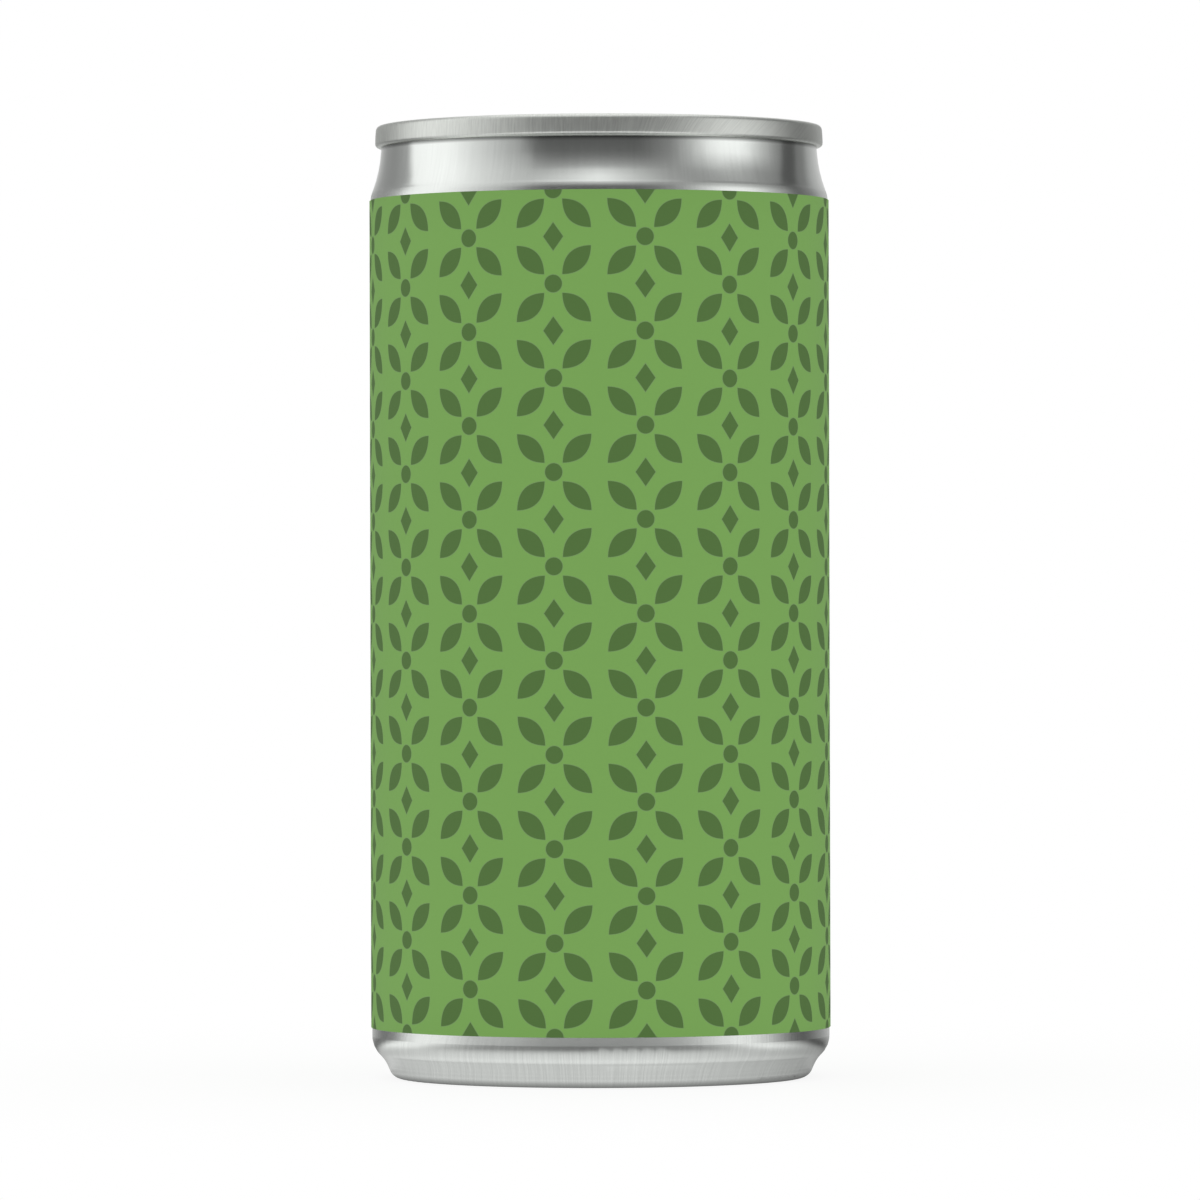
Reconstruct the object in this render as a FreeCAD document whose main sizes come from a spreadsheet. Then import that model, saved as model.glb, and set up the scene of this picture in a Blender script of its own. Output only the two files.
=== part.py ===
import FreeCAD, Part
import math
import os
import Sketcher

# A slim 200 ml drinks can: a drawn and ironed aluminium body, a double-seamed easy-open end with a
# stay-on tab, and a film label round the straight wall. Millimetres, +Z up, with the origin at
# the centre of the circle that the foot stands on. The mouth is towards -Y, the tab's tail +Y.
# The can is shut, so the body is solid from its skin inwards, drink and all.

SIZES = {
    # overall
    "can_height": 110.6,
    "body_diameter": 53.2,
    # base: foot ring, cove and heel
    "foot_inset": 3.56,  # from the wall to the circle that the can stands on
    "foot_flat": 0.4,
    "foot_radius": 1.4,
    "foot_slope": 23.5,  # degrees from upright
    "cove_height": 2.1,
    "cove_radius": 3.7,
    "heel_height": 3.68,
    "heel_radius": 3.0,
    "dome_depth": 9.3,
    "dome_leg": 2.67,  # height of the upright leg inside the foot
    "dome_edge_radius": 1.2,
    # shoulder and neck, measured down from the seam
    "shoulder_drop": 5.75,
    "shoulder_radius": 2.5,
    "neck_drop": 2.89,
    "neck_waist": 1.07,  # how far in from the wall the neck's bend lies
    "neck_radius": 16.0,
    "neck_reduction": 1.27,
    # double seam
    "seam_height": 2.45,
    "seam_overhang": 0.71,
    "seam_thickness": 1.2,
    "seam_taper": 0.06,
    "seam_crown_radius": 0.55,
    "seam_lip_radius": 0.4,
    # end: chuck wall, countersink and panel
    "end_gauge": 0.22,
    "countersink_depth": 6.35,
    "chuck_wall_slope": 14.0,  # degrees from upright
    "countersink_width": 1.35,
    "countersink_radius": 0.5,
    "panel_rise": 2.2,
    "panel_wall_lean": 0.25,
    "panel_edge_radius": 0.5,
    # recess pressed into the panel round the mouth and the tab
    "recess_depth": 0.6,
    "recess_margin": 1.4,
    "recess_mouth_radius": 13.0,
    "recess_tail_radius": 9.4,
    "recess_bend": 0.15,  # inner radius of the bends round the recess
    # finger well, pressed into the recess under the tab's tail
    "well_depth": 0.55,
    "well_width": 9.6,
    "well_front": 10.4,  # from the rivet's centre
    "well_tail_gap": 0.8,  # short of the tab's tail
    "well_front_radius": 3.0,
    "well_tail_radius": 4.4,
    # score line round the mouth, and the bead that stiffens the tear panel
    "mouth_margin": 2.0,
    "mouth_rear": 3.6,  # from the rivet's centre
    "mouth_width": 17.2,
    "mouth_front_radius": 7.8,
    "mouth_rear_radius": 5.6,
    "score_width": 0.24,
    "score_depth": 0.1,
    "bead_inset": 2.4,  # from the score line
    "bead_gap": 0.6,  # from the tab's nose
    "bead_width": 1.0,
    "bead_height": 0.2,
    "bead_round": 0.15,
    "bead_rear_radius": 2.6,
    # rivet, formed from the panel
    "rivet_seat_radius": 2.9,
    "rivet_seat_height": 0.24,
    "rivet_shank_radius": 1.5,
    "rivet_head_radius": 2.45,
    "rivet_head_height": 0.42,
    "rivet_round": 0.15,
    "rivet_dimple_radius": 1.3,
    "rivet_dimple_floor": 1.05,
    "rivet_dimple_depth": 0.3,
    # stay-on tab
    "tab_nose_reach": 7.4,
    "tab_tail_gap": 1.6,
    "tab_nose_radius": 7.3,
    "tab_tail_radius": 6.6,
    "tab_web": 0.26,
    "tab_lift": 0.12,
    "tab_curl_width": 1.7,
    "tab_curl_height": 1.15,
    "tab_curl_round": 0.5,
    "rivet_play": 0.04,
    "island_radius": 3.3,
    "island_slot_width": 0.7,
    "island_hinge": 1.8,  # how far past the rivet's centre the slot's ends reach
    "finger_hole_start": 6.2,
    "finger_hole_end_wall": 2.8,
    "finger_hole_width": 7.8,
    "finger_hole_radius": 1.8,
    "finger_hole_tail_radius": 3.5,
    "finger_hem_width": 0.8,
    "finger_hem_height": 0.75,
    "finger_hem_round": 0.25,
    # film label
    "label_thickness": 0.15,
    "label_base": 5.87,
}

# Derived sizes and places, as expressions on the sheet
WALL = "Sizes.body_diameter / 2"
STAND = f"({WALL} - Sizes.foot_inset)"
LEG = f"({STAND} - Sizes.foot_flat / 2 - Sizes.foot_radius)"
FOOT_CORNER = f"({STAND} + Sizes.foot_flat / 2 + Sizes.foot_radius * tan((90 - Sizes.foot_slope) / 2))"
COVE_CORNER = f"({FOOT_CORNER} + Sizes.cove_height * tan(Sizes.foot_slope))"
DOME_RISE = "(Sizes.dome_depth - Sizes.dome_leg)"
DOME_RADIUS = f"({LEG} ^ 2 + {DOME_RISE} ^ 2) / (2 * {DOME_RISE})"
SEAM_BASE = "(Sizes.can_height - Sizes.seam_height)"
SEAM_MIDDLE = f"({SEAM_BASE} + Sizes.seam_height / 2)"
CONE_SLOPE = "atan(Sizes.neck_waist / (Sizes.shoulder_drop - Sizes.neck_drop))"
LABEL_TOP = f"({SEAM_BASE} - Sizes.shoulder_drop - Sizes.shoulder_radius * tan({CONE_SLOPE} / 2))"
NECK = f"({WALL} - Sizes.neck_reduction)"
SEAM = f"({NECK} + Sizes.seam_overhang)"
CHUCK = f"({SEAM} - Sizes.seam_thickness)"
GAUGE = "Sizes.end_gauge"
GROOVE_Z = "(Sizes.can_height - Sizes.countersink_depth)"
GROOVE_OUT = f"({CHUCK} - (Sizes.countersink_depth - Sizes.seam_height) * tan(Sizes.chuck_wall_slope))"
GROOVE_IN = f"({GROOVE_OUT} - Sizes.countersink_width)"
PANEL_Z = f"({GROOVE_Z} + Sizes.panel_rise)"
PANEL = f"({GROOVE_IN} - Sizes.panel_wall_lean)"
FLOOR_Z = f"({PANEL_Z} - Sizes.recess_depth)"
RECESS = f"({PANEL} - Sizes.recess_margin)"
MOUTH_FRONT = f"(Sizes.mouth_margin - {RECESS})"
SEAT_Z = f"({FLOOR_Z} + Sizes.rivet_seat_height)"
GRIP_Z = f"({SEAT_Z} + Sizes.tab_web)"
HEAD_Z = f"({GRIP_Z} + Sizes.rivet_head_height)"
RIVET_HOLE = "(Sizes.rivet_shank_radius + Sizes.rivet_play)"
CURL_Z = f"({FLOOR_Z} + Sizes.tab_lift)"
TAB_TOP = f"({CURL_Z} + Sizes.tab_curl_height)"
TAB_TAIL = f"({RECESS} - Sizes.tab_tail_gap)"
# The form that the end is pressed over runs on past the body, below it and beside it
FORM_BASE = "(-Sizes.body_diameter / 10)"
FORM_RADIUS = "(Sizes.body_diameter * 0.6)"

NEAR = 0.01  # how close an edge or a face has to lie to count as the one asked for
UP = FreeCAD.Vector(0, 0, 1)

document = FreeCAD.newDocument("DrinksCan")
sheet = document.addObject("Spreadsheet::Sheet", "Sizes")
for row, (name, value) in enumerate(SIZES.items(), start=1):
    sheet.set(f"A{row}", name.replace("_", " "))
    sheet.set(f"B{row}", str(value))
    sheet.setAlias(f"B{row}", name)
document.recompute()


def number(expression):
    """The value of an expression on the sheet."""
    if isinstance(expression, (int, float)):
        return float(expression)
    value = sheet.evalExpression(expression)
    return float(getattr(value, "Value", value))


# Bodies and features

def new_body(label):
    body = document.addObject("PartDesign::Body", label)
    body.Label = label
    return body


def new_sketch(body, name, plane, offset="0"):
    """A sketch on one of the body's own origin planes, moved along the plane's normal."""
    sketch = body.newObject("Sketcher::SketchObject", name)
    support = next(f for f in body.Origin.OriginFeatures if f.Role == plane)
    sketch.AttachmentSupport = [(support, "")]
    sketch.MapMode = "FlatFace"
    sketch.setExpression("AttachmentOffset.Base.z", offset)
    document.recompute()
    return sketch


def new_feature(body, kind, name, size_name, size):
    """A feature whose one driving size is an expression on the sheet."""
    feature = body.newObject(f"PartDesign::{kind}", name)
    setattr(feature, size_name, number(size))
    feature.setExpression(size_name, size)
    return feature


def pad(body, sketch, name, height):
    feature = new_feature(body, "Pad", name, "Length", height)
    feature.Profile = sketch
    document.recompute()
    return feature


def cut(body, sketch, name, depth):
    feature = new_feature(body, "Pocket", name, "Length", depth)
    feature.Profile = sketch
    document.recompute()
    return feature


def revolve(body, sketch, name, kind="Revolution"):
    """Turns a section about the can's axis, as new metal or as a groove."""
    feature = body.newObject(f"PartDesign::{kind}", name)
    feature.Profile = sketch
    feature.ReferenceAxis = (sketch, ["V_Axis"])
    feature.Angle = 360
    document.recompute()
    return feature


def fillet(body, edges, name, radius):
    """Rounds edges of the body's last feature."""
    base = body.Tip
    feature = new_feature(body, "Fillet", name, "Radius", radius)
    feature.Base = (base, edges)
    document.recompute()
    return feature


def thin_wall(body, faces, name, gauge):
    """Lays a wall of one gauge on the body's last feature, open at the named faces."""
    base = body.Tip
    feature = new_feature(body, "Thickness", name, "Value", gauge)
    feature.Base = (base, faces)
    feature.Join = "Intersection"
    feature.Reversed = False
    document.recompute()
    return feature


def level_edges(shape, height, within, half_width=FORM_RADIUS):
    """The names of the edges that lie flat at a height, inside a circle round the axis and no
    further than a half width from the YZ plane."""
    names = []
    level, limit, side = number(height), number(within) + NEAR, number(half_width) + NEAR
    for i, edge in enumerate(shape.Edges, start=1):
        if edge.Degenerated:
            continue
        points = edge.discretize(5)
        if all(abs(p.z - level) < NEAR and math.hypot(p.x, p.y) < limit and abs(p.x) < side for p in points):
            names.append(f"Edge{i}")
    return names


# Sketch outlines

def name_dimension(sketch, constraint, name, expression):
    index = sketch.addConstraint(constraint)
    sketch.renameConstraint(index, name)
    if isinstance(expression, str):
        sketch.setExpression(f"Constraints.{name}", expression)


def place(sketch, geometry, end, x, y, tag):
    """Dimensions a point from the sketch's origin."""
    name_dimension(sketch, Sketcher.Constraint("DistanceX", -1, 1, geometry, end, number(x)), f"{tag}_x", x)
    name_dimension(sketch, Sketcher.Constraint("DistanceY", -1, 1, geometry, end, number(y)), f"{tag}_y", y)


def tangent_length(before, corner, after, radius):
    """How far a corner's round reaches along its two sides."""
    return radius / math.tan((before - corner).getAngle(after - corner) / 2)


def add_round(sketch, before, corner, after, radius, sides, tag):
    """An arc tangent to the two sides of a corner."""
    size = number(radius)
    a, b = (before - corner).normalize(), (after - corner).normalize()
    reach = tangent_length(before, corner, after, size)
    first, last = corner + a * reach, corner + b * reach
    centre = corner + (a + b).normalize() * math.hypot(reach, size)
    start, stop = (math.atan2(p.y - centre.y, p.x - centre.x) for p in (first, last))
    turns_left = (corner - before).cross(after - corner).z > 0
    span = (start, stop) if turns_left else (stop, start)
    index = sketch.addGeometry(Part.ArcOfCircle(Part.Circle(centre, UP, size), *span), False)
    ends = (1, 2) if turns_left else (2, 1)
    sketch.addConstraint(Sketcher.Constraint("Tangent", sides[0], 2, index, ends[0]))
    sketch.addConstraint(Sketcher.Constraint("Tangent", index, ends[1], sides[1], 1))
    name_dimension(sketch, Sketcher.Constraint("Radius", index, size), f"{tag}_radius", radius)


def draw_outline(sketch, corners, tag="c"):
    """Draws a closed outline. Each corner is (x, y, radius), as expressions on the sheet, with a
    radius of None where it stays sharp. Every corner is placed by two dimensions and every round
    by its radius, so the outline is fully constrained and follows the sheet."""
    at = [FreeCAD.Vector(number(x), number(y), 0) for x, y, _ in corners]
    count = len(corners)
    reach = []
    for i, (_, _, radius) in enumerate(corners):
        after = at[(i + 1) % count]
        reach.append(0 if radius is None else tangent_length(at[i - 1], at[i], after, number(radius)))
    lines = []
    for i in range(count):
        j = (i + 1) % count
        along = (at[j] - at[i]).normalize()
        start, end = at[i] + along * reach[i], at[j] - along * reach[j]
        lines.append(sketch.addGeometry(Part.LineSegment(start, end), False))
    for i, (x, y, radius) in enumerate(corners):
        arriving, leaving = lines[i - 1], lines[i]
        if radius is None:
            sketch.addConstraint(Sketcher.Constraint("Coincident", arriving, 2, leaving, 1))
            point = (leaving, 1)
        else:
            point = (sketch.addGeometry(Part.Point(at[i]), True), 1)
            sketch.addConstraint(Sketcher.Constraint("PointOnObject", *point, arriving))
            sketch.addConstraint(Sketcher.Constraint("PointOnObject", *point, leaving))
            add_round(sketch, at[i - 1], at[i], at[(i + 1) % count], radius, (arriving, leaving), f"{tag}{i}")
        place(sketch, *point, x, y, f"{tag}{i}")


def draw_belt(sketch, front, front_radius, rear, rear_radius, tag="belt"):
    """Draws the outline round two circles on the Y axis: an arc at the front, whose lowest point is
    at y = front, another at the rear up to y = rear, and a straight side tangent to both."""
    front_y, rear_y = f"({front} + {front_radius})", f"({rear} - {rear_radius})"
    r1, r2 = number(front_radius), number(rear_radius)
    first, last = FreeCAD.Vector(0, number(front_y), 0), FreeCAD.Vector(0, number(rear_y), 0)
    lean = math.asin((r1 - r2) / (last.y - first.y))
    right_way = FreeCAD.Vector(math.cos(lean), math.sin(lean), 0)
    left_way = FreeCAD.Vector(-right_way.x, right_way.y, 0)
    right = sketch.addGeometry(Part.LineSegment(first + right_way * r1, last + right_way * r2), False)
    rear_arc = sketch.addGeometry(Part.ArcOfCircle(Part.Circle(last, UP, r2), lean, math.pi - lean), False)
    left = sketch.addGeometry(Part.LineSegment(last + left_way * r2, first + left_way * r1), False)
    front_arc = sketch.addGeometry(Part.ArcOfCircle(Part.Circle(first, UP, r1), math.pi - lean, lean), False)
    ring = (right, rear_arc, left, front_arc)
    for side, following in zip(ring, ring[1:] + ring[:1]):
        sketch.addConstraint(Sketcher.Constraint("Tangent", side, 2, following, 1))
    ends = ((front_arc, front_y, front_radius, "front"), (rear_arc, rear_y, rear_radius, "rear"))
    for arc, centre_y, radius, name in ends:
        size = Sketcher.Constraint("Radius", arc, number(radius))
        name_dimension(sketch, size, f"{tag}_{name}_radius", radius)
        place(sketch, arc, 3, 0, centre_y, f"{tag}_{name}")


def draw_slot(sketch, half_width, front, rear, tag):
    """A hole with upright sides and rounded corners. Each end is its y and its corners' radius, and
    where the hole is too short or too narrow for its corners, they all shrink to fit."""
    (front_y, front_radius), (rear_y, rear_radius) = front, rear
    room = f"0.98 * ({rear_y} - {front_y}) / ({front_radius} + {rear_radius})"
    fit = f"min(1; {room}; 0.98 * {half_width} / max({front_radius}; {rear_radius}))"
    draw_outline(sketch, [
        (f"-{half_width}", front_y, f"{front_radius} * {fit}"),
        (half_width, front_y, f"{front_radius} * {fit}"),
        (half_width, rear_y, f"{rear_radius} * {fit}"),
        (f"-{half_width}", rear_y, f"{rear_radius} * {fit}"),
    ], tag)


# The body

def build_blank():
    """The body before its end goes on: foot, cove, heel, straight wall, shoulder and neck, revolved,
    with the dome hollowed out of the base."""
    body = new_body("body_blank")
    outside = new_sketch(body, "outside", "XZ_Plane")
    draw_outline(outside, [
        (0, 0, None),
        (FOOT_CORNER, 0, "Sizes.foot_radius"),
        (COVE_CORNER, "Sizes.cove_height", "Sizes.cove_radius"),
        (WALL, "Sizes.heel_height", "Sizes.heel_radius"),
        (WALL, f"{SEAM_BASE} - Sizes.shoulder_drop", "Sizes.shoulder_radius"),
        (f"{WALL} - Sizes.neck_waist", f"{SEAM_BASE} - Sizes.neck_drop", "Sizes.neck_radius"),
        (NECK, SEAM_BASE, None),
        (0, SEAM_BASE, None),
    ])
    revolve(body, outside, "wall")
    section = new_sketch(body, "dome_section", "XZ_Plane")
    draw_dome(section)
    dome = revolve(body, section, "dome", "Groove")
    fillet(body, level_edges(dome.Shape, 0, LEG), "foot_inside", "Sizes.foot_radius")
    fillet(body, level_edges(body.Tip.Shape, "Sizes.dome_leg", LEG), "dome_edge", "Sizes.dome_edge_radius")
    return body


def draw_dome(sketch):
    """The hollow under the can: an upright leg inside the foot, and a shallow dome."""
    apex, radius, edge = number("Sizes.dome_depth"), number(DOME_RADIUS), number(LEG)
    below = -number("Sizes.foot_radius")
    lean = math.asin(edge / radius)
    axis_foot, leg_foot = FreeCAD.Vector(0, below, 0), FreeCAD.Vector(edge, below, 0)
    corner = FreeCAD.Vector(edge, apex - radius * (1 - math.cos(lean)), 0)
    crown = Part.Circle(FreeCAD.Vector(0, apex - radius, 0), UP, radius)
    base = sketch.addGeometry(Part.LineSegment(axis_foot, leg_foot), False)
    side = sketch.addGeometry(Part.LineSegment(leg_foot, corner), False)
    arc = sketch.addGeometry(Part.ArcOfCircle(crown, math.pi / 2 - lean, math.pi / 2), False)
    axis = sketch.addGeometry(Part.LineSegment(FreeCAD.Vector(0, apex, 0), axis_foot), False)
    for first, second in ((base, side), (side, arc), (arc, axis), (axis, base)):
        sketch.addConstraint(Sketcher.Constraint("Coincident", first, 2, second, 1))
    sketch.addConstraint(Sketcher.Constraint("Horizontal", base))
    sketch.addConstraint(Sketcher.Constraint("Vertical", side))
    sketch.addConstraint(Sketcher.Constraint("PointOnObject", arc, 3, -2))
    sketch.addConstraint(Sketcher.Constraint("PointOnObject", base, 1, -2))
    name_dimension(sketch, Sketcher.Constraint("Radius", arc, radius), "dome_radius", DOME_RADIUS)
    place(sketch, axis, 1, 0, "Sizes.dome_depth", "apex")
    place(sketch, base, 2, LEG, "-Sizes.foot_radius", "leg")


def build_can(blank, form):
    """The body and its drink: the blank, filled up to the underside of the end."""
    can = document.addObject("Part::Common", "can_body")
    can.Label = "can_body"
    can.Base = blank
    can.Tool = form
    document.recompute()
    return can


# The end

def build_form():
    """The solid whose top the end is pressed over: chuck wall, countersink, panel and recess."""
    body = new_body("end_form")
    section = new_sketch(body, "form_section", "XZ_Plane")
    draw_outline(section, [
        (0, FORM_BASE, None),
        (FORM_RADIUS, FORM_BASE, None),
        (FORM_RADIUS, SEAM_MIDDLE, None),
        (f"{CHUCK} + {GAUGE}", SEAM_MIDDLE, None),
        (f"{CHUCK} + {GAUGE}", SEAM_BASE, None),
        (f"{GROOVE_OUT} + {GAUGE}", f"{GROOVE_Z} - {GAUGE}", f"Sizes.countersink_radius + {GAUGE}"),
        (f"{GROOVE_IN} - {GAUGE}", f"{GROOVE_Z} - {GAUGE}", f"Sizes.countersink_radius + {GAUGE}"),
        (f"{PANEL} - {GAUGE}", f"{PANEL_Z} - {GAUGE}", "Sizes.panel_edge_radius"),
        (0, f"{PANEL_Z} - {GAUGE}", None),
    ])
    revolve(body, section, "pressing")
    outline = new_sketch(body, "recess_outline", "XY_Plane", f"{PANEL_Z} - {GAUGE}")
    draw_belt(outline, f"-{RECESS}", "Sizes.recess_mouth_radius", RECESS, "Sizes.recess_tail_radius")
    press_in(body, outline, "recess", f"{PANEL_Z} - {GAUGE}", "Sizes.recess_depth", FORM_RADIUS)
    outline = new_sketch(body, "well_outline", "XY_Plane", f"{FLOOR_Z} - {GAUGE}")
    front = ("Sizes.well_front", "Sizes.well_front_radius")
    rear = (f"({TAB_TAIL} - Sizes.well_tail_gap)", "Sizes.well_tail_radius")
    draw_slot(outline, "(Sizes.well_width / 2)", front, rear, "well")
    press_in(body, outline, "well", f"{FLOOR_Z} - {GAUGE}", "Sizes.well_depth", "Sizes.well_width / 2")
    return body


def press_in(body, outline, name, top, depth, half_width):
    """Sinks an outline into the form, rounded so that the sheet over it bends at both rims. The
    lower round leaves room for the upper one where the wall is short."""
    sunk = cut(body, outline, name, depth)
    fillet(body, level_edges(sunk.Shape, top, RECESS, half_width), f"{name}_rim", "Sizes.recess_bend")
    floor = level_edges(body.Tip.Shape, f"{top} - {depth}", RECESS, half_width)
    lower = f"min(Sizes.recess_bend + {GAUGE}; 0.98 * {depth} - Sizes.recess_bend)"
    fillet(body, floor, f"{name}_floor", lower)


def open_faces(form):
    """The names of the form's faces that the sheet doesn't cover: underside, flank and top ring."""
    names = []
    radius, levels = number(FORM_RADIUS), (number(FORM_BASE), number(SEAM_MIDDLE))
    for i, face in enumerate(form.Faces, start=1):
        box = face.BoundBox
        flat = box.ZLength < NEAR and any(abs(box.ZMin - level) < NEAR for level in levels)
        flank = isinstance(face.Surface, Part.Cylinder) and abs(face.Surface.Radius - radius) < NEAR
        if flat or flank:
            names.append(f"Face{i}")
    return names


def build_end(form):
    """The easy-open end: a sheet of one gauge, the double seam, the rivet, and the scored mouth."""
    body = new_body("can_end")
    body.BaseFeature = form
    document.recompute()
    thin_wall(body, open_faces(body.Tip.Shape), "pressed_sheet", GAUGE)
    seam = new_sketch(body, "seam_section", "XZ_Plane")
    draw_outline(seam, [
        (CHUCK, SEAM_BASE, None),
        (SEAM, SEAM_BASE, "Sizes.seam_lip_radius"),
        (f"{SEAM} - Sizes.seam_taper", "Sizes.can_height", "Sizes.seam_crown_radius"),
        (CHUCK, "Sizes.can_height", "Sizes.seam_crown_radius"),
    ])
    revolve(body, seam, "double_seam")
    add_bead(body)
    add_rivet(body)
    score = new_sketch(body, "score_outline", "XY_Plane", FLOOR_Z)
    draw_mouth(score, "(-Sizes.score_width / 2)", "outer")
    draw_mouth(score, "(Sizes.score_width / 2)", "inner")
    cut(body, score, "score", "Sizes.score_depth")
    return body


def add_rivet(body):
    """The rivet, drawn up from the panel: seat, shank, and a head closed down over the tab's web."""
    section = new_sketch(body, "rivet_section", "XZ_Plane")
    root = f"({FLOOR_Z} - {GAUGE} / 2)"
    dimple = f"({HEAD_Z} - Sizes.rivet_dimple_depth)"
    draw_outline(section, [
        (0, root, None),
        ("Sizes.rivet_seat_radius", root, None),
        ("Sizes.rivet_seat_radius", SEAT_Z, "Sizes.rivet_round"),
        ("Sizes.rivet_shank_radius", SEAT_Z, None),
        ("Sizes.rivet_shank_radius", GRIP_Z, None),
        ("Sizes.rivet_head_radius", GRIP_Z, None),
        ("Sizes.rivet_head_radius", HEAD_Z, "Sizes.rivet_round"),
        ("Sizes.rivet_dimple_radius", HEAD_Z, "Sizes.rivet_round"),
        ("Sizes.rivet_dimple_floor", dimple, None),
        (0, dimple, None),
    ])
    revolve(body, section, "rivet")


def add_bead(body):
    """The low ridge that stiffens the tear panel, in front of the tab's nose."""
    outline = new_sketch(body, "bead_outline", "XY_Plane", FLOOR_Z)
    for width, tag in (("0", "outer"), ("Sizes.bead_width", "inner")):
        inset = f"(Sizes.bead_inset + {width})"
        front = (f"({MOUTH_FRONT} + {inset})", f"(Sizes.mouth_front_radius - {inset})")
        rear = (f"(-Sizes.tab_nose_reach - Sizes.bead_gap - {width})", f"(Sizes.bead_rear_radius - {width})")
        draw_slot(outline, f"(Sizes.mouth_width / 2 - {inset})", front, rear, tag)
    ridge = pad(body, outline, "tear_bead", "Sizes.bead_height")
    crest = level_edges(ridge.Shape, f"{FLOOR_Z} + Sizes.bead_height", RECESS)
    fillet(body, crest, "bead_round", "Sizes.bead_round")


def draw_mouth(sketch, inset, tag):
    """The mouth's outline, moved inwards by an inset."""
    front = (f"({MOUTH_FRONT} + {inset})", f"(Sizes.mouth_front_radius - {inset})")
    rear = (f"(-Sizes.mouth_rear - {inset})", f"(Sizes.mouth_rear_radius - {inset})")
    draw_slot(sketch, f"(Sizes.mouth_width / 2 - {inset})", front, rear, tag)


# The tab

def build_tab():
    """The stay-on tab: a curled rim and a web, a hemmed finger hole, and an island round the rivet."""
    body = new_body("pull_tab")
    curl = new_sketch(body, "curl_outline", "XY_Plane", CURL_Z)
    draw_tab(curl, "0", "outer")
    draw_tab(curl, "Sizes.tab_curl_width", "inner")
    rim = pad(body, curl, "curl", "Sizes.tab_curl_height")
    rim_edges = level_edges(rim.Shape, TAB_TOP, RECESS) + level_edges(rim.Shape, CURL_Z, RECESS)
    fillet(body, rim_edges, "curl_round", "Sizes.tab_curl_round")
    web = new_sketch(body, "web_outline", "XY_Plane", SEAT_Z)
    draw_tab(web, "Sizes.tab_curl_width / 2", "web")
    pad(body, web, "web", "Sizes.tab_web")
    hem = new_sketch(body, "hem_outline", "XY_Plane", CURL_Z)
    draw_finger_hole(hem, "Sizes.finger_hem_width", "outer")
    raised = pad(body, hem, "hem", "Sizes.finger_hem_height")
    finger_hole = new_sketch(body, "finger_hole_outline", "XY_Plane", TAB_TOP)
    draw_finger_hole(finger_hole, "0", "hole")
    cut(body, finger_hole, "finger_hole", "Sizes.tab_curl_height")
    hem_edges = level_edges(body.Tip.Shape, f"{CURL_Z} + Sizes.finger_hem_height", RECESS)
    fillet(body, hem_edges, "hem_round", "Sizes.finger_hem_round")
    island = new_sketch(body, "island_outline", "XY_Plane", TAB_TOP)
    draw_island_slot(island)
    hole_radius = number(RIVET_HOLE)
    rivet_hole = island.addGeometry(Part.Circle(FreeCAD.Vector(0, 0, 0), UP, hole_radius), False)
    island.addConstraint(Sketcher.Constraint("Coincident", rivet_hole, 3, -1, 1))
    size = Sketcher.Constraint("Radius", rivet_hole, hole_radius)
    name_dimension(island, size, "rivet_hole", RIVET_HOLE)
    cut(body, island, "island", "Sizes.tab_curl_height")
    return body


def draw_tab(sketch, inset, tag):
    """The tab's outline, moved inwards by an inset."""
    nose, tail = f"({inset} - Sizes.tab_nose_reach)", f"({TAB_TAIL} - {inset})"
    nose_radius, tail_radius = f"(Sizes.tab_nose_radius - {inset})", f"(Sizes.tab_tail_radius - {inset})"
    draw_belt(sketch, nose, nose_radius, tail, tail_radius, tag)


def draw_finger_hole(sketch, margin, tag):
    """The finger hole's outline, moved outwards by a margin."""
    tail = f"({TAB_TAIL} - Sizes.finger_hole_end_wall + {margin})"
    front = (f"(Sizes.finger_hole_start - {margin})", f"(Sizes.finger_hole_radius + {margin})")
    rear = (tail, f"(Sizes.finger_hole_tail_radius + {margin})")
    draw_slot(sketch, f"(Sizes.finger_hole_width / 2 + {margin})", front, rear, tag)


def draw_island_slot(sketch):
    """A slot round the tail side of the rivet, which leaves the island hinged towards the nose."""
    inner, outer = "Sizes.island_radius", "(Sizes.island_radius + Sizes.island_slot_width)"
    middle, half = number(f"({inner} + {outer}) / 2"), number("Sizes.island_slot_width / 2")
    drop = math.asin(number("Sizes.island_hinge") / middle)
    origin = FreeCAD.Vector(0, 0, 0)
    right = FreeCAD.Vector(middle * math.cos(drop), -middle * math.sin(drop), 0)
    left = FreeCAD.Vector(-right.x, right.y, 0)
    spans = (
        (origin, number(outer), -drop, math.pi + drop),
        (left, half, math.pi + drop, 2 * math.pi + drop),
        (origin, number(inner), -drop, math.pi + drop),
        (right, half, math.pi - drop, 2 * math.pi - drop),
    )
    arcs = []
    for centre, size, start, stop in spans:
        arc = Part.ArcOfCircle(Part.Circle(centre, UP, size), start, stop)
        arcs.append(sketch.addGeometry(arc, False))
    far, left_end, near, right_end = arcs
    for arc, radius, name in ((far, outer, "outer"), (near, inner, "inner")):
        sketch.addConstraint(Sketcher.Constraint("Coincident", arc, 3, -1, 1))
        name_dimension(sketch, Sketcher.Constraint("Radius", arc, number(radius)), f"slot_{name}", radius)
    joins = ((far, 2, left_end, 1), (left_end, 2, near, 2), (near, 1, right_end, 1), (right_end, 2, far, 1))
    for join in joins:
        sketch.addConstraint(Sketcher.Constraint("Tangent", *join))
    for cap, name in ((left_end, "left"), (right_end, "right")):
        reach = Sketcher.Constraint("DistanceY", cap, 3, -1, 1, number("Sizes.island_hinge"))
        name_dimension(sketch, reach, f"hinge_{name}", "Sizes.island_hinge")


# The label

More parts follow.
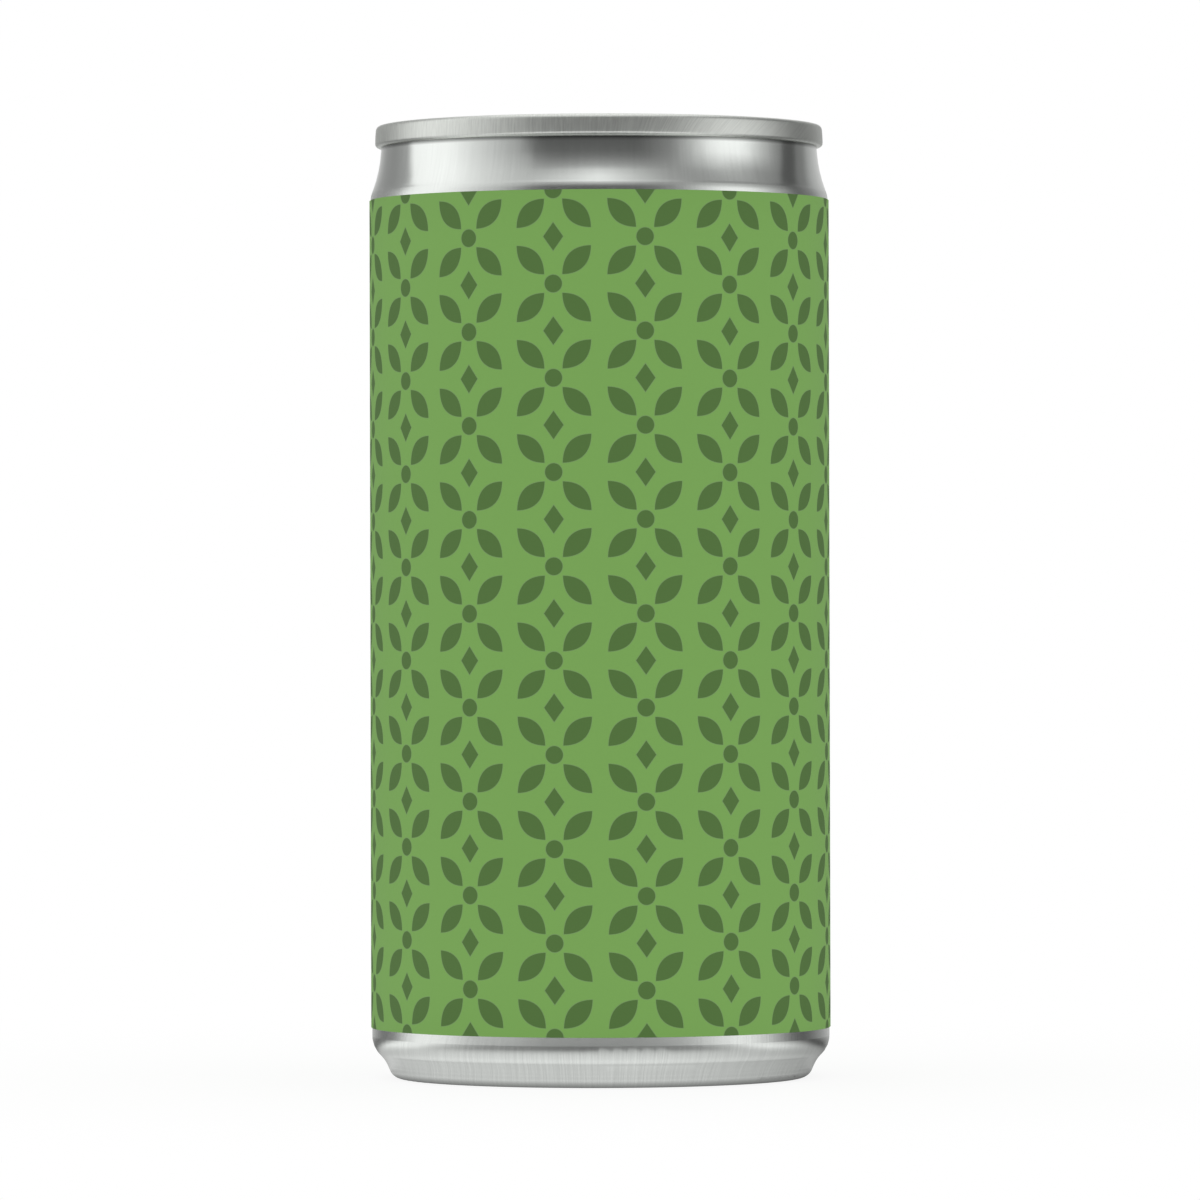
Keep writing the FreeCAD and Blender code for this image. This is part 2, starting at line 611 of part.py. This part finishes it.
def build_label():
    """The film label, a thin tube over the whole straight wall."""
    body = new_body("label_film")
    section = new_sketch(body, "film_section", "XZ_Plane")
    outside = f"({WALL} + Sizes.label_thickness)"
    draw_outline(section, [
        (WALL, "Sizes.label_base", None),
        (outside, "Sizes.label_base", None),
        (outside, LABEL_TOP, None),
        (WALL, LABEL_TOP, None),
    ])
    revolve(body, section, "film")
    return body


end_form = build_form()
pieces = [build_can(build_blank(), end_form), build_end(end_form), build_tab(), build_label()]
failed = [item.Name for item in document.Objects if {"Invalid", "Error"} & set(item.State)]
failed += [piece.Label for piece in pieces if piece.Shape.isNull() or not piece.Shape.isValid()]
if failed:
    raise RuntimeError("These didn't build: " + ", ".join(failed))
os.makedirs("parts", exist_ok=True)
for piece in pieces:
    piece.Shape.exportStep(f"parts/{piece.Label}.step")
    print(piece.Label, len(piece.Shape.Solids), "solid,", round(piece.Shape.Volume, 1), "mm3")
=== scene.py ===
import math

import bmesh
import bpy
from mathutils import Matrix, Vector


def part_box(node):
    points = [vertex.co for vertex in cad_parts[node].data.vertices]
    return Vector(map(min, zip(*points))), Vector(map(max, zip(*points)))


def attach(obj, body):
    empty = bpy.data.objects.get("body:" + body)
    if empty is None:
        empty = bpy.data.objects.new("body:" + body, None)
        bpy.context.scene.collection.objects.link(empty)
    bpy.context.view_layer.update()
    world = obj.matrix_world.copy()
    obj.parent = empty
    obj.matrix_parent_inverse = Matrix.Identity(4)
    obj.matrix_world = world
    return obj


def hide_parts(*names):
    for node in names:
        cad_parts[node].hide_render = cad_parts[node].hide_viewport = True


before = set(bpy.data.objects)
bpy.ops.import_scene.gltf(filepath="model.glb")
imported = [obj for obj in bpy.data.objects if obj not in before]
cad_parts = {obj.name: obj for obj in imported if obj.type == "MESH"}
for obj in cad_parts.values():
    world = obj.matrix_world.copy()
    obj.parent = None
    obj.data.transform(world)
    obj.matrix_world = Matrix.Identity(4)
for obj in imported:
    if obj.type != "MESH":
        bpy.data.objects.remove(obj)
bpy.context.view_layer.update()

mm = 0.001
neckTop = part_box("can_body")[1].z  # where the seam sits on the body
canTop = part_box("can_end")[1].z
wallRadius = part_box("can_body")[1].x / mm


class Wire:  # one output socket, so that shader maths reads as plain expressions
    def __init__(self, finish, socket):
        self.finish = finish
        self.socket = socket

    def __add__(self, other):
        return self.finish.maths("ADD", self, other)

    def __sub__(self, other):
        return self.finish.maths("SUBTRACT", self, other)

    def __rsub__(self, other):
        return self.finish.maths("SUBTRACT", other, self)

    def __mul__(self, other):
        return self.finish.maths("MULTIPLY", self, other)

    def __truediv__(self, other):
        return self.finish.maths("DIVIDE", self, other)

    def __gt__(self, other):
        return self.finish.maths("GREATER_THAN", self, other)

    def __abs__(self):
        return self.finish.maths("ABSOLUTE", self)

    __radd__ = __add__
    __rmul__ = __mul__


class Finish:  # one material, or the world, and the nodes in it
    def __init__(self, name, library="materials"):
        self.owner = getattr(bpy.data, library).new(name)
        self.owner.use_nodes = True
        self.tree = self.owner.node_tree
        self.tree.nodes.clear()

    def node(self, kind, settings=None, inputs=None, output=0):
        node = self.tree.nodes.new("ShaderNode" + kind)
        for name, value in (settings or {}).items():
            if name == "stops":  # a ramp's places from 0 to 1, and the grey at each
                while len(node.color_ramp.elements) < len(value):
                    node.color_ramp.elements.new(0.5)
                for stop, (place, grey) in zip(node.color_ramp.elements, value):
                    stop.position = place
                    stop.color = (grey, grey, grey, 1)
            else:
                setattr(node, name, value)
        for name, value in (inputs or {}).items():
            if isinstance(value, Wire):
                self.tree.links.new(value.socket, node.inputs[name])
            else:
                node.inputs[name].default_value = value
        return Wire(self, node.outputs[output]) if node.outputs else None

    def maths(self, operation, *values):
        return self.node("Math", {"operation": operation}, dict(enumerate(values)))

    def scaled(self, vector, factor):
        return self.node("VectorMath", {"operation": "SCALE"}, {0: vector, "Scale": factor})

    def stretched(self, point, across, along):  # by one factor round the can and another up it
        return self.node("VectorMath", {"operation": "MULTIPLY"}, {
            0: point, 1: (across, across, along)})

    def place(self):  # the point on the piece, in millimetres
        return self.scaled(self.node("TexCoord", output="Object"), 1 / mm)

    def axis(self, point, name):
        return self.node("SeparateXYZ", inputs={0: point}, output="XYZ".index(name))

    def reach(self, point):  # its distance from the can's axis
        return self.node("VectorMath", {"operation": "LENGTH"}, {
            0: self.stretched(point, 1, 0)}, output=1)

    def degrees(self, point):  # its angle round the can from the camera's side, to the right
        angle = self.maths("ARCTAN2", self.axis(point, "X"), self.axis(point, "Y") * -1.0)
        return angle * (180 / math.pi)

    def between(self, mask, low, high):  # a number that goes from low to high with the mask
        return mask * (high - low) + low

    def ease(self, value, start, end, way="SMOOTHSTEP"):  # 0 up to start, and 1 from end on
        return self.node("MapRange", {"interpolation_type": way}, {
            "Value": value, "From Min": start, "From Max": end})

    def ramp(self, value, stops):  # a grey that follows the value from stop to stop
        first, last = stops[0][0], stops[-1][0]
        stops = [((place - first) / (last - first), grey) for place, grey in stops]
        return self.node("ValToRGB", {"stops": stops}, {"Fac": (value - first) / (last - first)})

    def blend(self, mask, first, second):  # a colour that goes from first to second with the mask
        return self.node("Mix", {"data_type": "RGBA"}, {0: mask, 6: first, 7: second}, output=2)

    def noise(self, vector, detail=2.0, roughness=0.5):
        return self.node("TexNoise", inputs={
            "Vector": vector, "Scale": 1.0, "Detail": detail, "Roughness": roughness})

    def bump(self, height, distance):
        return self.node("Bump", inputs={"Height": height, "Distance": distance})

    def glow(self, colour):
        return self.node("Emission", inputs={"Color": colour, "Strength": 1.0})

    def mix(self, mask, first, second):  # a shader that goes from first to second with the mask
        return self.node("MixShader", inputs={0: mask, 1: first, 2: second})

    def surface(self, shader):
        self.node("OutputMaterial", inputs={"Surface": shader})
        return self.owner

    def principled(self, inputs):
        return self.surface(self.node("BsdfPrincipled", inputs=inputs))


def newObject(name, shape):
    mesh = bpy.data.meshes.new(name)
    shape.to_mesh(mesh)
    shape.free()
    piece = bpy.data.objects.new(name, mesh)
    bpy.context.scene.collection.objects.link(piece)
    return piece


def spun(shape, points, steps, closed=False):  # an outline of reaches and heights, turned round
    line = [shape.verts.new((0, reach, height)) for reach, height in points]
    pairs = list(zip(line, line[1:])) + ([(line[-1], line[0])] if closed else [])
    edges = [shape.edges.new(pair) for pair in pairs]
    bmesh.ops.spin(shape, geom=line + edges, axis=(0, 0, 1), cent=(0, 0, 0), angle=math.tau,
                   steps=steps, use_merge=True)


# Studio

# The greys that the metal mirrors stand on a wall round the can. Each row runs by degrees from the
# camera's side to the right: a broad lamp at the left, a narrow low one at the right, a dark room
# behind the camera with a lamp above it, and a pale back wall.
studio = {
    "ambient": 1.0,  # how brightly the world lights the can, where 1 is the white that shows
    "wallDistance": 0.55,
    "wallHeight": 0.9,
    "steps": 96,
    "rises": (0.25, 0.42, 0.6, 0.76, 1.2),  # height of each row above the can, over its distance
    "greys": (
        [(-180, 0.95), (-164, 0.5), (-152, 0.33), (-146, 0.28), (-135, 0.25), (-119, 0.33),
         (-114, 0.95), (-100, 1.0), (-85, 0.97), (-62, 0.6), (-42, 0.34), (-37, 0.17), (-30, 0.085),
         (20, 0.085), (38, 0.21), (50, 0.5), (60, 0.88), (68, 1.0), (80, 0.98), (94, 0.52),
         (105, 0.27), (110, 0.22), (113, 0.085), (123, 0.085), (127, 0.18), (134, 0.19),
         (141, 0.34), (150, 0.45), (166, 0.6), (180, 0.95)],
        [(-180, 0.95), (-152, 0.33), (-146, 0.28), (-135, 0.25), (-119, 0.33), (-114, 0.95),
         (-100, 1.0), (-85, 0.98), (-66, 0.68), (-42, 0.41), (-38, 0.36), (-33, 0.2), (-22, 0.15),
         (-2, 0.16), (22, 0.15), (38, 0.23), (55, 0.48), (67, 0.66), (79, 0.52), (94, 0.29),
         (110, 0.2), (113, 0.085), (123, 0.085), (127, 0.18), (134, 0.19), (141, 0.32),
         (150, 0.4), (180, 0.95)],
        [(-180, 1.0), (-150, 0.3), (-119, 0.33), (-114, 0.95), (-85, 0.95), (-66, 0.7),
         (-42, 0.47), (-37, 0.4), (-32, 0.33), (-20, 0.31), (0, 0.36), (22, 0.31), (38, 0.29),
         (55, 0.3), (79, 0.3), (94, 0.24), (110, 0.2), (114, 0.08), (123, 0.08), (128, 0.18),
         (141, 0.3), (160, 0.7), (180, 1.0)],
        [(-180, 1.0), (-150, 0.4), (-119, 0.35), (-114, 0.9), (-85, 0.9), (-66, 0.68),
         (-42, 0.54), (-20, 0.74), (0, 1.0), (20, 0.66), (38, 0.4), (55, 0.28), (94, 0.24),
         (112, 0.18), (118, 0.08), (128, 0.1), (150, 0.4), (160, 0.8), (180, 1.0)],
        [(-180, 1.0), (-150, 0.6), (-125, 0.35), (-100, 0.6), (-60, 0.45), (-20, 0.62), (0, 0.75),
         (20, 0.56), (60, 0.3), (100, 0.2), (150, 0.5), (180, 1.0)],
    ),
}


def setWorld():
    sky = Finish("studio", "worlds")
    seen = sum(sky.node("LightPath", output=ray) for ray in (
        "Is Camera Ray", "Is Glossy Ray", "Is Transmission Ray"))
    strength = sky.between(sky.ease(seen, 0.0, 1.0, "LINEAR"), studio["ambient"], 1.0)
    white = sky.node("Background", inputs={"Color": (1, 1, 1, 1), "Strength": strength})
    sky.node("OutputWorld", inputs={"Surface": white})
    bpy.context.scene.world = sky.owner


def makeSurround():
    shape = bmesh.new()
    distance = studio["wallDistance"]
    spun(shape, [(distance, 0), (distance, studio["wallHeight"])], studio["steps"])
    wall = newObject("surround", shape)
    light = Finish("surroundLight")
    point = light.place()
    degrees = light.degrees(point)
    rise = (light.axis(point, "Z") * mm - canTop) / distance
    rows = [light.ramp(degrees, stops) for stops in studio["greys"]]
    grey = rows[0]
    for below, above, row in zip(studio["rises"], studio["rises"][1:], rows[1:]):
        grey = light.between(light.ease(rise, below, above, "LINEAR"), grey, row)
    wall.data.materials.append(light.surface(light.glow(grey)))
    wall.visible_camera = False
    wall.visible_diffuse = False
    wall.visible_shadow = False


# The floor shows white with a faint shadow. What the metal mirrors of it is painted: painted light
# and shade by the distance from the can's axis in millimetres, and by degrees from the camera's
# side to the right.
floor = {
    "radius": 3.0,  # metres
    "steps": 96,
    "white": (0.97, 0.97, 0.97, 1),
    "shadow": (30.0, 160.0),  # the distances over which the can's shadow fades out
    "clear": 0.86,  # how much of it is gone even beside the can
    "near": [(23.4, 0.14), (24.4, 0.4), (25.2, 0.64), (25.6, 0.55), (26.0, 0.59), (26.5, 0.76),
             (27.2, 0.76), (28.4, 0.68), (31.0, 0.66), (40.0, 0.66)],  # a pale ring of painted light round the foot
    "nearSides": [(-180, 0.6), (-100, 0.74), (-78, 0.82), (-50, 0.98), (-10, 1.0), (12, 1.0),
                  (36, 0.88), (56, 0.74), (78, 0.54), (120, 0.46), (180, 0.6)],
    "nearEnds": (29.0, 39.0),  # where the ring goes over to the room's greys
    # painted greys of a room, which the metal sees in the floor
    "far": [(-180, 0.9), (-150, 0.45), (-138, 0.26), (-130, 0.13), (-114, 0.14), (-108, 0.4),
            (-97, 0.92), (-76, 0.86), (-60, 0.46), (-44, 0.27), (-20, 0.19), (0, 0.155),
            (18, 0.175), (36, 0.26), (50, 0.54), (62, 0.88), (72, 0.78), (84, 0.46), (95, 0.2),
            (102, 0.07), (114, 0.07), (122, 0.2), (138, 0.35), (180, 0.9)],
    "paintedShade": (130.0, 260.0, 0.72),  # painted shade: where the room's greys darken, and what is left of them
    "paintedPool": (105.0, 170.0, 0.97),  # a painted pool of light, as from a lamp above the camera: where it lies, and how bright
    "paintedPoolSides": (42.0, 74.0),  # degrees to either side over which that painted light ends
}


def makeFloor():
    shape = bmesh.new()
    bmesh.ops.create_circle(shape, cap_ends=True, radius=floor["radius"], segments=floor["steps"])
    ground = newObject("floor", shape)
    paper = Finish("floorPaper")
    point = paper.place()
    reach, degrees = paper.reach(point), paper.degrees(point)

    matte = paper.node("BsdfDiffuse", inputs={"Color": floor["white"]})
    clear = paper.between(paper.ease(reach, *floor["shadow"]), floor["clear"], 1.0)
    shown = paper.node("LightPath", output="Is Camera Ray") * clear
    bounced = paper.node("LightPath", output="Is Diffuse Ray")
    plain = paper.mix(shown + bounced, matte, paper.glow((1, 1, 1, 1)))

    # painted reflection: the metal sees these painted greys in the floor, not the floor's own
    # shading
    near = paper.ramp(reach, floor["near"]) * paper.ramp(degrees, floor["nearSides"])
    starts, ends, left = floor["paintedShade"]
    room = paper.ramp(degrees, floor["far"]) * paper.between(
        paper.ease(reach, starts, ends), 1.0, left)
    starts, ends, lamp = floor["paintedPool"]
    front = 1 - paper.ease(abs(degrees), *floor["paintedPoolSides"])
    room = paper.between(front * paper.ease(reach, starts, ends), room, lamp)
    paintedReflection = paper.between(paper.ease(reach, *floor["nearEnds"]), near, room)
    glossy = paper.node("LightPath", output="Is Glossy Ray")
    ground.data.materials.append(paper.surface(paper.mix(glossy, plain, paper.glow(paintedReflection))))


camera = {
    "distance": 0.966,
    "height": 0.0528,
    "pitch": 0.16,  # degrees up
    "roll": 0.13,
    "lens": 249.0,
    "sensor": 36.0,
    "clipEnd": 50.0,
}


def setCamera():
    data = bpy.data.cameras.new("camera")
    data.lens = camera["lens"]
    data.sensor_width = camera["sensor"]
    data.clip_end = camera["clipEnd"]
    view = bpy.data.objects.new("camera", data)
    view.location = (0, -camera["distance"], camera["height"])
    view.rotation_euler = (math.radians(90 + camera["pitch"]), math.radians(camera["roll"]), 0)
    bpy.context.scene.collection.objects.link(view)
    bpy.context.scene.camera = view


# Metal

# Heights, distances and depths are in millimetres, and a pattern's fineness is per millimetre.
body = {
    "colour": (0.905, 0.935, 0.905),
    "footTop": (5.6, 6.2),  # heights over which the foot's looks give way to the neck's
    "neckRoughness": (0.1, 0.17),
    "footRoughness": (0.17, 0.27),
    "shoulder": (103.6, 102.4, 0.12),  # where it dulls on the way down to the label, and how much
    "streaks": 6.0,  # fineness across the streaks,
    "neckAlong": 0.12,  # and along them
    "footAlong": 0.16,
    "grain": (0.12, 0.3),  # how much lighter and darker the neck's and the foot's streaks are
    "depth": (0.0006, 0.0012),
    "lean": -0.634,  # how far round the foot's streaks go for each millimetre up
    "leanSides": (0.0, -68.8),  # degrees over which the lean sets in, at the left
    "leanHeight": 2.5,
    "flatWithin": 21.0,  # nearer the axis than this, on the dome, streaks don't follow the slope
    "clouds": (0.5, 0.2, 0.04),  # fineness of dull patches round and up, and how dull they are
    "paintedSeamShade": (0.55, 0.1, 0.36),  # how far under the seam the painted shade starts, is full, and how dark
}


def rolledOut(metal, point):  # the skin at one radius, so that streaks run unbroken up its slopes
    reach = metal.maths("MAXIMUM", metal.reach(point), body["flatWithin"])
    wide = metal.scaled(metal.stretched(point, 1, 0), metal.maths("DIVIDE", wallRadius, reach))
    return metal.node("VectorMath", {"operation": "ADD"}, {
        0: wide, 1: metal.stretched(point, 0, 1)})


def leaning(metal, point, height, lean):  # the point turned with its height, for streaks that lean
    return metal.node("VectorRotate", {"rotation_type": "Z_AXIS"}, {
        "Vector": point, "Angle": lean * height / wallRadius})


def bodyFinish():
    metal = Finish("drawnAluminium")
    point = metal.place()
    z = metal.axis(point, "Z")
    foot = 1 - metal.ease(z, *body["footTop"])
    skin = rolledOut(metal, point)
    drawn = metal.noise(metal.stretched(skin, body["streaks"], body["neckAlong"]),
                        detail=3.0, roughness=0.6)
    lean = metal.ease(metal.degrees(point), *body["leanSides"]) * body["lean"]
    skin = leaning(metal, skin, z - body["leanHeight"], lean)
    ground = metal.noise(metal.stretched(skin, body["streaks"], body["footAlong"]), roughness=0.6)

    across, along, dull = body["clouds"]
    clouds = metal.noise(metal.stretched(point, across, along)) * dull - dull / 2
    starts, ends, dulled = body["shoulder"]
    neckRoughness = (metal.between(drawn, *body["neckRoughness"])
                     + metal.ease(z, starts, ends) * dulled)
    footRoughness = metal.between(ground, *body["footRoughness"])

    # painted shade: the neck's colour darkens just under the seam, where it lies in shadow
    starts, full, dark = body["paintedSeamShade"]
    paintedShade = metal.ease(z, neckTop / mm - starts, neckTop / mm - full)
    grain = metal.between(foot, drawn, ground)
    streaks = (grain - 0.5) * metal.between(foot, *body["grain"]) + 1.0
    return metal.principled({
        "Base Color": metal.scaled(body["colour"], metal.between(paintedShade, 1.0, dark) * streaks),
        "Metallic": 1.0,
        "Roughness": metal.between(foot, neckRoughness, footRoughness) + clouds,
        "Normal": metal.bump(grain * metal.between(foot, *body["depth"]), mm)})


rolled = {
    "colour": (0.81, 0.835, 0.795),
    "wallStarts": (24.6, 25.4),  # distances over which the panel's looks give way to the seam's
    "panelRoughness": (0.2, 0.32),
    "wallRoughness": (0.34, 0.46),
    "panelLight": 1.1,  # how much lighter the panel is than the seam
    "scratches": 5.0,
    "along": 0.3,
    "grain": 0.42,  # how much lighter and darker the scratches are
    "depth": 0.002,
    "lean": -1.739,  # how far round they go for each millimetre up
    "leanSides": (-11.5, 63.0),  # degrees over which the lean sets in, to the right
}


def rolledFinish():
    metal = Finish("rolledAluminium")
    point = metal.place()
    z = metal.axis(point, "Z")
    wall = metal.ease(metal.reach(point), *rolled["wallStarts"])
    lean = metal.ease(metal.degrees(point), *rolled["leanSides"]) * rolled["lean"]
    skin = leaning(metal, point, z - canTop / mm, lean)
    scratches = metal.noise(metal.stretched(skin, rolled["scratches"], rolled["along"]),
                            roughness=0.6)
    streaks = (scratches - 0.5) * rolled["grain"] + 1.0
    light = metal.between(wall, rolled["panelLight"], 1.0)
    return metal.principled({
        "Base Color": metal.scaled(rolled["colour"], streaks * light),
        "Metallic": 1.0,
        "Roughness": metal.between(wall, metal.between(scratches, *rolled["panelRoughness"]),
                                   metal.between(scratches, *rolled["wallRoughness"])),
        "Normal": metal.bump(scratches * rolled["depth"], mm)})


def dress(node, material):
    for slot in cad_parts[node].material_slots:
        slot.material = material


# End

seam = {
    "lean": 6.0,  # degrees that its wall leans in at the top
    "lowerRound": 0.41,
    "upperRound": 0.52,
    "innerRound": 0.55,
    "rows": 10,  # in each round
    "margin": 0.04,  # from the sheet's outside to the first point
    "merge": 0.0001,  # how near two points are that become one
    "near": 0.01,  # how near to a height counts as at it
    "pastLip": 0.002,  # how far past the sheet's edges the middles of the seam's own faces are
    "pastSheet": 0.005,
}


def arc(reach, height, radius, start, end):  # the rows of a round, in degrees up from straight out
    turns = [math.radians(start + (end - start) * row / seam["rows"])
             for row in range(seam["rows"] + 1)]
    return [(reach + radius * math.cos(turn), height + radius * math.sin(turn)) for turn in turns]


def seamSection(outer, top, bottom, inside, outside):  # from the sheet's outside to its inside
    lower, upper, inner = [seam[name] * mm for name in ("lowerRound", "upperRound", "innerRound")]
    lean = math.radians(seam["lean"])
    start, crest = bottom + lower, top - upper * (1 - math.sin(lean))
    wall = []
    for row in range(1, seam["rows"] + 1):
        share = row / seam["rows"]
        leaned = math.tan(lean) * (crest - start) * share * share / 2
        wall.append((outer - leaned, start + (crest - start) * share))
    edge = wall[-1][0] - upper * math.cos(lean)
    return ([(outside + seam["margin"] * mm, bottom)]
            + arc(outer - lower, bottom + lower, lower, -90, 0)
            + wall
            + arc(edge, top - upper, upper, seam["lean"], 90)[1:]
            + arc(inside + inner, top - inner, inner, 90, 180)[:-1])


def endShell():  # the end with its seam turned again in even facets, as smooth as the real one
    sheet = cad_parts["can_end"].data.copy()
    normals = [0.0] * (3 * len(sheet.loops))
    sheet.corner_normals.foreach_get("vector", normals)
    kept = sheet.attributes.new("keptNormal", "FLOAT_VECTOR", "CORNER")
    kept.data.foreach_set("vector", normals)
    shape = bmesh.new()
    shape.from_mesh(sheet)
    bpy.data.meshes.remove(sheet)
    bmesh.ops.remove_doubles(shape, verts=shape.verts, dist=seam["merge"] * mm)

    near = seam["near"] * mm
    lip = canTop - seam["innerRound"] * mm
    outer = max(vert.co.xy.length for vert in shape.verts)
    inside = min(vert.co.xy.length for vert in shape.verts if vert.co.z > lip - near)
    outside = min(vert.co.xy.length for vert in shape.verts if abs(vert.co.z - neckTop) < near)
    dropped = []
    for face in shape.faces:
        middle = face.calc_center_median()
        beside = middle.xy.length > outside + seam["pastSheet"] * mm
        if middle.z > lip + seam["pastLip"] * mm or (middle.z > neckTop - near and beside):
            dropped.append(face)
    bmesh.ops.delete(shape, geom=dropped, context="FACES")

    rim = [edge for edge in shape.edges if edge.is_boundary and edge.verts[0].co.z > lip - near]
    spun(shape, seamSection(outer, canTop, neckTop, inside, outside), len(rim))
    rims = [edge for edge in shape.edges if edge.is_boundary]
    upper = [edge for edge in rims if edge.verts[0].co.z > lip - near]
    lower = [edge for edge in rims if edge.verts[0].co.z < lip - near]
    bmesh.ops.bridge_loops(shape, edges=upper)
    bmesh.ops.triangle_fill(shape, use_beauty=True, edges=lower, normal=(0, 0, -1))
    bmesh.ops.recalc_face_normals(shape, faces=shape.faces)
    for face in shape.faces:
        face.smooth = True
    print("  seam: open edges", sum(not edge.is_manifold for edge in shape.edges),
          "volume", round(shape.calc_volume() / mm ** 3, 1))

    shell = newObject("end_shell", shape)
    normals = [0.0] * (3 * len(shell.data.loops))
    kept = shell.data.attributes["keptNormal"]
    kept.data.foreach_get("vector", normals)
    shell.data.attributes.remove(kept)
    shell.data.normals_split_custom_set(list(zip(normals[0::3], normals[1::3], normals[2::3])))
    shell.data.materials.append(rolledFinish())
    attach(shell, "root")
    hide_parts("can_end")


# Label

label = {
    "thickness": 0.14,
    "rim": 0.04,  # the round of its cut edges
    "lap": 6.0,  # width of the glued lap at the back
    "lapRise": 0.035,
    "steps": 256,
    "rows": 12,
    "merge": 0.001,
    "outsideUv": (0.0, 0.97),  # the part of the map's height that the outside takes,
    "insideUv": (0.98, 1.0),  # and the inside
    "ground": (0.182, 0.362, 0.091, 1),
    "ink": (0.082, 0.163, 0.044, 1),
    "trap": (0.17, 0.29, 0.115, 1),  # the thin line where the two inks meet
    "trapWidth": 0.07,
    "columns": 16,  # sprigs round the can,
    "tiers": 9,  # and up it
    "leafLength": 4.6,
    "leafWidth": 2.2,
    "leafStart": 1.5,
    "dot": 1.0,
    "lozenge": (1.15, 1.6),
    "roughness": (0.62, 0.72),
    "inkGloss": 0.04,  # how much smoother the dark ink is
    "specular": 0.1,
    "waves": (0.12, 0.05),  # of the film, a millimetre round and up
    "waveDepth": 0.02,
}


def labelWrap():
    low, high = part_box("label_film")
    outer, bottom, top = high.x - label["lapRise"] * mm, low.z, high.z
    inner, rim = outer - label["thickness"] * mm, label["rim"] * mm
    section = [(inner, bottom), (outer - rim, bottom)]
    for row in range(label["rows"] + 1):
        height = rim + (top - bottom - 2 * rim) * row / label["rows"]
        section.append((outer, bottom + height))
    section += [(outer - rim, top), (inner, top)]
    shape = bmesh.new()
    spun(shape, section, label["steps"], closed=True)
    bmesh.ops.remove_doubles(shape, verts=shape.verts, dist=label["merge"] * mm)
    bmesh.ops.recalc_face_normals(shape, faces=shape.faces)

    layer = shape.loops.layers.uv.new("OFBake")
    halfway = (inner + outer) / 2
    for face in shape.faces:
        face.smooth = True
        middle = face.calc_center_median()
        facing = math.atan2(middle.x, -middle.y)
        start, end = label["insideUv" if middle.xy.length < halfway else "outsideUv"]
        for loop in face.loops:
            x, y, z = loop.vert.co
            angle = math.atan2(x, -y)
            angle += math.tau * round((facing - angle) / math.tau)
            up = (z - bottom) / (top - bottom)
            loop[layer].uv = (angle / math.tau + 0.5, start + (end - start) * up)
    for vert in shape.verts:
        across = math.atan2(vert.co.x, vert.co.y) * outer / mm
        if abs(across) < label["lap"] / 2 and vert.co.xy.length > halfway:
            vert.co.xy *= 1 + label["lapRise"] * mm / outer

    wrap = newObject("label_wrap", shape)
    wrap.data.materials.append(labelFinish())
    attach(wrap, "root")
    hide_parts("label_film")


def labelFinish():
    film = Finish("printedFilm")
    point = film.place()
    low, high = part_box("label_film")
    width = math.tau * high.x / mm / label["columns"]
    tier = (high.z - low.z) / mm / label["tiers"]
    columns = (film.degrees(point) / 360 + 0.5) * label["columns"]
    halfDrop = film.maths("FLOORED_MODULO", film.maths("FLOOR", columns), 2.0) * 0.5
    tiers = (film.axis(point, "Z") - low.z / mm) / tier + halfDrop
    across = abs(film.maths("FRACT", columns) - 0.5) * width
    along = abs(film.maths("FRACT", tiers) - 0.5) * tier

    # four leaves on the diagonals round a dot, and a lozenge between one sprig and the next
    out = (across + along) * math.sqrt(0.5) - (label["leafStart"] + label["leafLength"] / 2)
    side = abs(across - along) * math.sqrt(0.5)
    taper = 1 - out * out * (2 / label["leafLength"]) ** 2
    leaf = taper * (label["leafWidth"] / 2) - side
    dot = label["dot"] - film.maths("SQRT", across * across + along * along)
    wide, tall = label["lozenge"]
    slope = wide * tall / math.hypot(wide, tall)
    lozenge = (1 - across / wide - (tier / 2 - along) / tall) * slope
    inside = film.maths("MAXIMUM", film.maths("MAXIMUM", leaf, dot), lozenge)

    ink = inside > 0.0
    ground = film.blend(inside > -label["trapWidth"], label["ground"], label["trap"])
    waves = film.noise(film.stretched(point, *label["waves"]))
    return film.principled({
        "Base Color": film.blend(ink, ground, label["ink"]),
        "Roughness": film.between(waves, *label["roughness"]) - ink * label["inkGloss"],
        "Specular IOR Level": label["specular"],
        "Normal": film.bump(waves, label["waveDepth"] * mm)})


print("studio")
setWorld()
makeFloor()
makeSurround()
setCamera()
print("body")
dress("can_body", bodyFinish())
print("end and tab")
endShell()
dress("pull_tab", rolledFinish())
print("label")
labelWrap()

scene = bpy.context.scene
scene.view_settings.view_transform = "Standard"
